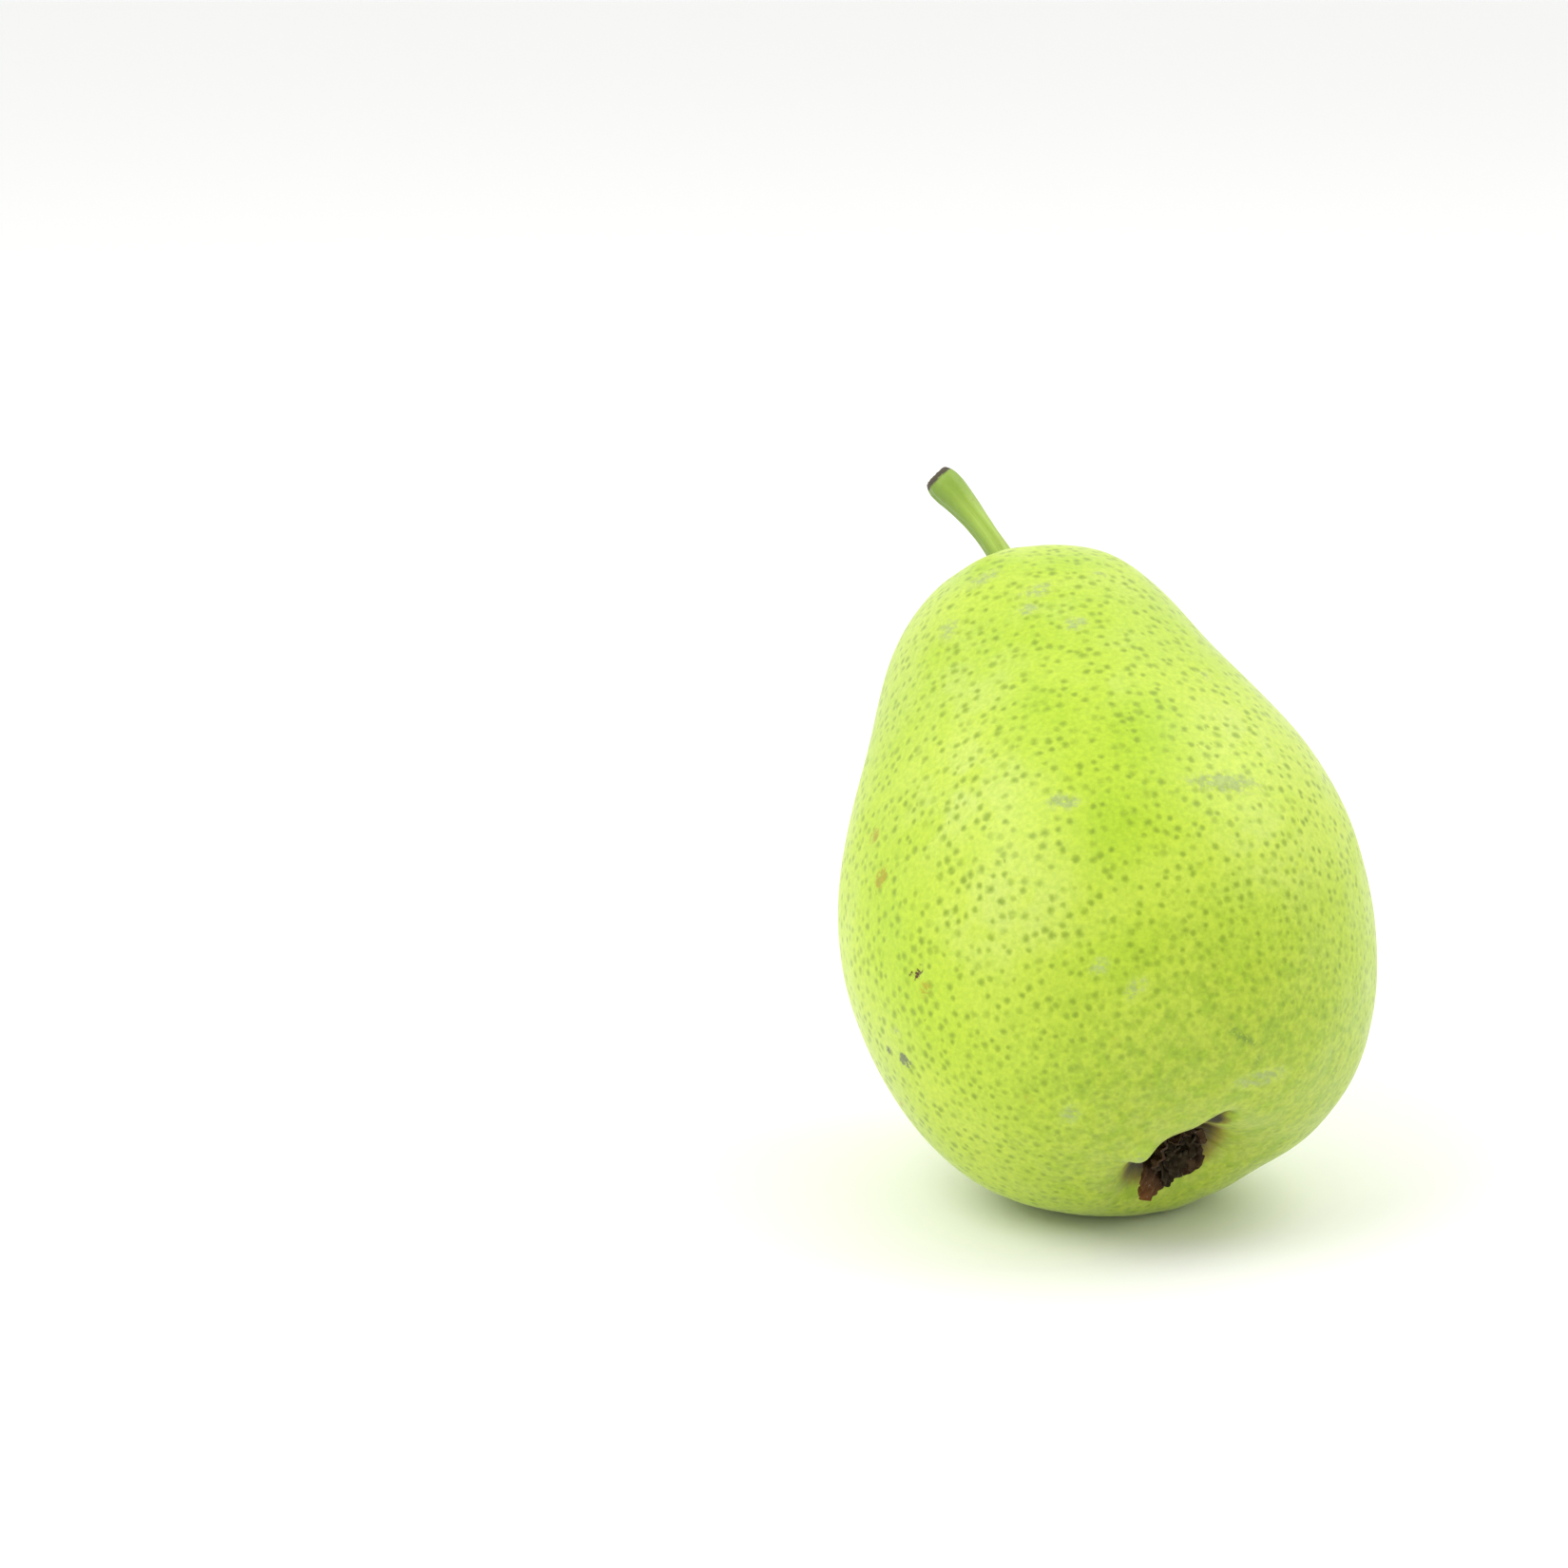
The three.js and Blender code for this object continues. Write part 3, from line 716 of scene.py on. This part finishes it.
knobs = 0.06 * np.cos(3 * turn + 9 * share[:, None]) + 0.04 * np.cos(2 * turn - 17 * share[:, None])
around = girth[:, None] * (1 + ribs * 0.7) + knobs
body = carried(path, along, np.array([1.0, 0, 0]), around * np.cos(turn), around * np.sin(turn))
dish = np.linspace(1, 0.06, 14)[1:]
end_ring = body[-1] - path[-1]
lip = 0.30 * np.exp(-(((dish - 0.93) / 0.06) ** 2)) - 0.75 * (1 - dish**2)
inner = path[-1] + dish[:, None, None] * end_ring[None] + lip[:, None, None] * along[-1]
inner += 0.05 * along[-1] * (np.cos(13 * turn) * np.sin(3 * turn + 1))[None, :, None]
stalk_rings = np.concatenate([body, inner])
print("the stalk is", round(float(np.linalg.norm(np.diff(path, axis=0), axis=1).sum()), 1), "mm long")

# %% The stalk's finish
STALK_GREEN, STALK_PALE = (0.31, 0.46, 0.05, 1), (0.41, 0.57, 0.095, 1)
STALK_YELLOW, FOOT_BROWN = (0.40, 0.47, 0.08, 1), (0.35, 0.33, 0.06, 1)
UPPER_GREEN, SHADED_GREEN = (0.22, 0.35, 0.03, 1), (0.13, 0.22, 0.028, 1)
SPECK, CORK, CUT = (0.22, 0.25, 0.06, 1), (0.075, 0.06, 0.04, 1), (0.20, 0.16, 0.085, 1)
stalk_finish, tree, shader, place = new_finish("stalk")
flat_map = add_node(tree, "ShaderNodeUVMap", {}, uv_map="flat").outputs[0]
strands = add_node(tree, "ShaderNodeMapping", {"Vector": flat_map, "Scale": (16, 2.2, 1)}).outputs[0]
streaky = {"Vector": strands, "Scale": 1.0, "Detail": 4.0, "Roughness": 0.6}
streak = add_node(tree, "ShaderNodeTexNoise", streaky).outputs["Fac"]
colour = tint(tree, ramp(tree, streak, 0.3, 0.7), STALK_GREEN, STALK_PALE)
colour = tint(tree, ramp(tree, noise(tree, place, 3.0), 0.45, 0.75, 0.0, 0.5), colour, STALK_YELLOW)
colour = tint(tree, ramp(tree, field(tree, "foot"), 0.2, 1.0, 0.0, 0.6), colour, FOOT_BROWN)
colour = tint(tree, ramp(tree, field(tree, "upper"), 0.1, 1.0, 0.0, 0.85), colour, UPPER_GREEN)
# painted shade: the stalk's left side darkened
colour = tint(tree, ramp(tree, field(tree, "side"), 0.25, 0.95, 0.0, 0.6), colour, SHADED_GREEN)
specks = ramp(tree, noise(tree, place, 0.45, 2.0), 0.66, 0.74)
colour = tint(tree, times(tree, specks, 0.5), colour, SPECK)
corky = ramp(tree, noise(tree, place, 0.8, 4.0), 0.2, 0.6, 0.6, 1.2)
cork = times(tree, field(tree, "cork"), corky)
colour = tint(tree, ramp(tree, cork, 0.25, 0.7), colour, CORK)
colour = tint(tree, ramp(tree, field(tree, "cut"), 0.3, 0.9), colour, CUT)
tree.links.new(colour, shader.inputs["Base Color"])
tree.links.new(ramp(tree, cork, 0.2, 0.8, 0.48, 0.85), shader.inputs["Roughness"])
set_up(shader, Subsurface_Weight=0.1, Subsurface_Radius=(0.8, 1.0, 0.3), Subsurface_Scale=0.0015)
bumps = plus(tree, streak, times(tree, noise(tree, place, 0.4), 0.5))
bumpy(tree, shader, bumps, 0.7, 0.00018)
print("the stalk's finish has", len(tree.nodes), "nodes")

# %% Build the stalk
down = share[:, None] + 0 * turn
across_dish = dish[:, None] + 0 * turn
# the side that gets painted shade: the stalk's left
shaded = np.clip(-np.cos(turn + 0.35), 0, 1)
stalk_fields = {
    "cork": (np.exp(-(((1 - down) / 0.03) ** 2)), np.exp(-(((1 - across_dish) / 0.16) ** 2))),
    "cut": (0 * down, np.clip((1 - across_dish) / 0.25, 0, 1)),
    "foot": (np.exp(-(((down - 0.25) / 0.16) ** 2)), 0 * across_dish),
    "upper": (np.clip((down - 0.55) / 0.4, 0, 1), 1 + 0 * across_dish),
    "side": (0 * down + shaded, 0 * across_dish + shaded),
}


def with_ends(values):
    """A grid's numbers as one row, with the mean of each end ring for the end points."""
    return np.concatenate([[values[0].mean()], values.ravel(), [values[-1].mean()]])


stalk_fields = {name: with_ends(np.concatenate(parts)) for name, parts in stalk_fields.items()}
laid_stalk = laid(stalk_rings)
stalk_body = (laid_stalk[0].mean(0), laid_stalk, laid_stalk[-1].mean(0))
stalk = closed_piece("stalk", [stalk_body], stalk_finish, stalk_fields)
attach(stalk, "root")
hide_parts("stem")

# %% [markdown]
# ## The dried flower
# Five sepals and a tuft of stamens stay on the pear from its blossom. Dried, they are thin,
# dark and crumpled: each sepal is a pointed blade that stands up from the basin's floor,
# bends outward, curls across its width and has a torn edge. They share one finish, with a
# redder brown towards the tips.

# %% The flower's own place
slope_way = np.radians(BASIN_SLOPE_DEGREES)
tilt_axis = Vector((-np.sin(slope_way), np.cos(slope_way), 0))
FLOWER_TILT = np.array(Matrix.Rotation(-np.arctan(BASIN_SLOPE), 3, tilt_axis))
FLOWER_START = np.array([*BASIN_SHIFT, OUTLINE[0, 1]])


def in_flower(places):
    """Places measured from the middle of the basin's sloping floor, moved onto the pear."""
    return laid(places @ FLOWER_TILT.T + FLOWER_START)


print("the flower stands at", np.round(in_flower(np.zeros(3)), 1).tolist(), "mm")

# %% The finish of the sepals
DRIED_DARK, DRIED_BROWN = (0.013, 0.008, 0.004, 1), (0.050, 0.029, 0.012, 1)
TIP_RED, FLECK = (0.20, 0.072, 0.012, 1), (0.30, 0.24, 0.16, 1)
dried_finish, tree, shader, place = new_finish("dried_sepal")
curl = noise(tree, place, 1.6, 4.0, 0.6)
colour = tint(tree, ramp(tree, curl, 0.35, 0.68), DRIED_DARK, DRIED_BROWN)
colour = tint(tree, times(tree, field(tree, "tip"), 0.75), colour, TIP_RED)
colour = tint(tree, ramp(tree, noise(tree, place, 0.55), 0.64, 0.74, 0.0, 0.55), colour, FLECK)
tree.links.new(colour, shader.inputs["Base Color"])
set_up(shader, Roughness=0.72, Specular_IOR_Level=0.2)
bumpy(tree, shader, plus(tree, curl, times(tree, noise(tree, place, 0.35), 0.5)), 0.9, 0.0003)
print("the sepals' finish has", len(tree.nodes), "nodes")

# %% The sepals
SEPALS = [  # degrees round the basin, the tip's distance from its middle and height, half width
    (-100, 4.4, -4.4, 2.7), (-28, 4.4, -4.0, 2.5), (44, 4.9, -4.6, 2.8), (138, 8.0, -5.6, 3.3),
    (197, 5.0, -5.2, 2.9),
]
LONG_SEPAL = 138
SEPAL_START = 3.0
SEPAL_RINGS, SEPAL_SIDES = 80, 72


def sepal(degrees, start, spread, tip, half_width, seed):
    """A blade along a bent path: its half width goes as sin(pi s^0.8)^0.55 with torn teeth
    towards the tip, it is a few tenths thick, bent across its width by a square, and
    crumpled by three waves that run along and across it."""
    way = np.array([np.cos(np.radians(degrees)), np.sin(np.radians(degrees)), 0])
    side = np.array([-way[1], way[0], 0])
    up = np.array([0, 0, 1.0])
    points = [start * way - 0.6 * up, start * way + (tip - 0.8) / 2 * up, spread * way + tip * up]
    t = even_steps(points, SEPAL_RINGS + 2)[1:-1]
    s = np.linspace(0, 1, SEPAL_RINGS + 2)[1:-1]
    path, along = bezier(points, t)
    draw = np.random.default_rng(seed)
    phases = draw.uniform(0, 2 * np.pi, 8)
    turn = 2 * np.pi * np.arange(SEPAL_SIDES) / SEPAL_SIDES
    torn = 1 + s**2 * (0.14 * np.sin(21 * s + phases[0]) + 0.10 * np.sin(39 * s + phases[1]))
    wide = half_width * np.sin(np.pi * s**0.8) ** 0.55 * torn
    across = wide[:, None] * np.cos(turn)
    s = s[:, None]
    thick = 0.16 + 0.16 * np.sin(np.pi * s)
    bent = draw.uniform(-1.3, 0.3) * (across / half_width) ** 2 * (0.3 + s)
    crumple = 0.36 * np.sin(2.0 * across + 7 * s + phases[2])
    crumple += 0.26 * np.sin(-3.3 * across + 12 * s + phases[3])
    crumple += 0.10 * np.sin(7 * across + 19 * s + phases[4]) * np.sin(5 * across - 11 * s + phases[5])
    out = thick * np.sin(turn) + bent + crumple * (0.3 + 0.7 * s)
    rings = carried(path, along, side, across, out)
    return in_flower(path[0]), in_flower(rings), in_flower(path[-1]), s


for i, (degrees, spread, tip, half_width) in enumerate(SEPALS):
    name = f"sepal_{i + 1}"
    first, rings, last, s = sepal(degrees, SEPAL_START, spread, tip, half_width, 20 + i)
    redness = s**2 * (1 if degrees == LONG_SEPAL else 0.18) + np.zeros(SEPAL_SIDES)
    blade = closed_piece("dried_" + name, [(first, rings, last)], dried_finish, {"tip": with_ends(redness)})
    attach(blade, "root")
    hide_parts(name)

# %% [markdown]
# Inside the sepals stands the tuft: what is left of the stamens, thin bent stalks with small
# knobs, in a low cup, between shrivelled folds of the flower. The folds are small sepals that
# start nearer the middle, so the same function makes them.

# %% The tuft of stamens
TUFT_RADIUS, STAMENS = 1.75, 13
TUFT_DARK, TUFT_BROWN = (0.012, 0.008, 0.004, 1), (0.050, 0.034, 0.012, 1)
tuft_finish, tree, shader, place = new_finish("dried_stamen")
colour = tint(tree, noise(tree, place, 0.8), TUFT_DARK, TUFT_BROWN)
tree.links.new(colour, shader.inputs["Base Color"])
set_up(shader, Roughness=0.8, Specular_IOR_Level=0.2)
bumpy(tree, shader, noise(tree, place, 0.3), 0.8, 0.0002)


def stamen(foot, lean, length, thick, seed):
    """A thin stalk from a foot, leaning outward and bent, with a small knob at its end: the
    radius is thick (0.6 + 0.4 at the foot) and doubles over the last tenth."""
    draw = np.random.default_rng(seed)
    tip = foot + np.array([lean[0], lean[1], -length])
    middle = (foot + tip) / 2 + draw.normal(0, 0.28, 3)
    s = np.linspace(0, 1, 26)
    path, along = bezier([foot, middle, tip], s)
    turn = 2 * np.pi * np.arange(12) / 12
    size = thick * (0.6 + 0.4 * (1 - s) + 1.0 * np.exp(-(((s - 0.93) / 0.07) ** 2)))
    wide, deep = size[:, None] * np.cos(turn), size[:, None] * np.sin(turn)
    rings = carried(path, along, np.array([1.0, 0, 0]), wide, deep)
    return in_flower(path[0]), in_flower(rings), in_flower(path[-1] + 0.1 * along[-1])


golden = np.pi * (3 - np.sqrt(5))
bodies = [sepal(degrees, 1.9, spread, -4.0, 1.9, 60 + degrees)[:3]
          for degrees, spread in ((8, 3.4), (80, 4.6), (98, 6.0), (160, 4.2), (232, 2.6), (300, 3.2))]
for i in range(STAMENS):
    out = 0.75 * TUFT_RADIUS * np.sqrt((i + 0.5) / STAMENS)
    way = np.array([np.cos(i * golden), np.sin(i * golden)])
    foot = np.array([*(out * way), -0.4])
    bodies.append(stamen(foot, way * (0.15 + 0.42 * out), 2.5 + 0.8 * np.sin(5 * i), 0.30, 40 + i))
s = np.linspace(0.02, 0.98, 24)
cup = TUFT_RADIUS * np.sin(np.pi * s) ** 0.5
turn = 2 * np.pi * np.arange(40) / 40
rough_cup = cup[:, None] * (1 + 0.08 * np.cos(9 * turn) * np.sin(5 * s)[:, None])
cup_height = (-0.3 - 0.9 * s)[:, None] + 0 * turn
rings = np.stack([rough_cup * np.cos(turn), -rough_cup * np.sin(turn), cup_height], -1)
bodies.append((in_flower(np.array([0, 0, -0.3])), in_flower(rings), in_flower(np.array([0, 0, -1.15]))))
stamen_tuft = closed_piece("dried_stamens", bodies, tuft_finish)
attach(stamen_tuft, "root")
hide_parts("stamen_tuft")

# %% [markdown]
# ## Floor, light and camera
# A wide, nearly white floor and a white surround keep the picture bright, as in a small
# light tent. Two large soft lights, left and right above the pear, shape it; the underside
# darkens where it turns to its own shadow. The camera looks down by fourteen degrees from
# the front, far enough away that the pear is hardly foreshortened.

# %% The floor
HALF_FLOOR = 9.0
floor_finish, tree, shader, place = new_finish("pale_floor")
set_up(shader, Base_Color=(0.94, 0.94, 0.925, 1), Roughness=0.65)
mesh = bpy.data.meshes.new("floor")
corners = [(HALF_FLOOR * x, HALF_FLOOR * y, 0) for x, y in ((-1, -1), (1, -1), (1, 1), (-1, 1))]
mesh.from_pydata(corners, [], [(0, 1, 2, 3)])
mesh.materials.append(floor_finish)
floor = bpy.data.objects.new("floor", mesh)
bpy.context.scene.collection.objects.link(floor)
print("the floor is", 2 * HALF_FLOOR, "m square")

# %% Surround and lights
world = bpy.data.worlds.new("white_surround")
world.use_nodes = True
tree = world.node_tree
sky = add_node(tree, "ShaderNodeTexCoord", {}).outputs["Generated"]
way = add_node(tree, "ShaderNodeSeparateXYZ", {0: sky})
brightness = ramp(tree, way.outputs["Y"], -0.9, 0.5, 0.76, 1.08)
tree.links.new(brightness, tree.nodes["Background"].inputs["Strength"])
tree.nodes["Background"].inputs["Color"].default_value = (1, 1, 1, 1)
bpy.context.scene.world = world


def soft_light(name, place, size, power):
    """A square light of that size in metres, aimed at the middle of the pear."""
    light = bpy.data.lights.new(name, "AREA")
    light.size, light.energy = size, power
    lamp = bpy.data.objects.new(name, light)
    lamp.location = place
    aim = Vector((0, 0, 0.05)) - Vector(place)
    lamp.rotation_euler = aim.to_track_quat("-Z", "Y").to_euler()
    bpy.context.scene.collection.objects.link(lamp)
    return lamp


soft_light("left_soft", (-0.65, -0.40, 0.90), 0.7, 5.4)
soft_light("right_soft", (0.65, 0.10, 1.0), 0.7, 3.8)
bpy.context.scene.view_settings.view_transform = "Standard"
print("surround and two lights are on")

# %% The camera
AWAY, LEFT, ABOVE = 600, 46.8, 23.6
LENS_LENGTH, SENSOR_WIDTH = 96.98, 36
pitch = np.radians(14)
right, upward = np.array([1, 0, 0]), np.array([0, np.sin(pitch), np.cos(pitch)])
forward = np.array([0, np.cos(pitch), -np.sin(pitch)])
belly = laid(np.array([0.0, 0, BELLY_HEIGHT]))
stand = belly - LEFT * right + ABOVE * upward - AWAY * forward
lens = bpy.data.cameras.new("camera")
lens.lens, lens.sensor_width, lens.clip_end = LENS_LENGTH, SENSOR_WIDTH, 100
camera = bpy.data.objects.new("camera", lens)
camera.location = stand * MM
camera.rotation_euler = (np.pi / 2 - pitch, 0, 0)
bpy.context.scene.collection.objects.link(camera)
bpy.context.scene.camera = camera
print("the camera stands at", np.round(stand, 1).tolist(), "mm")
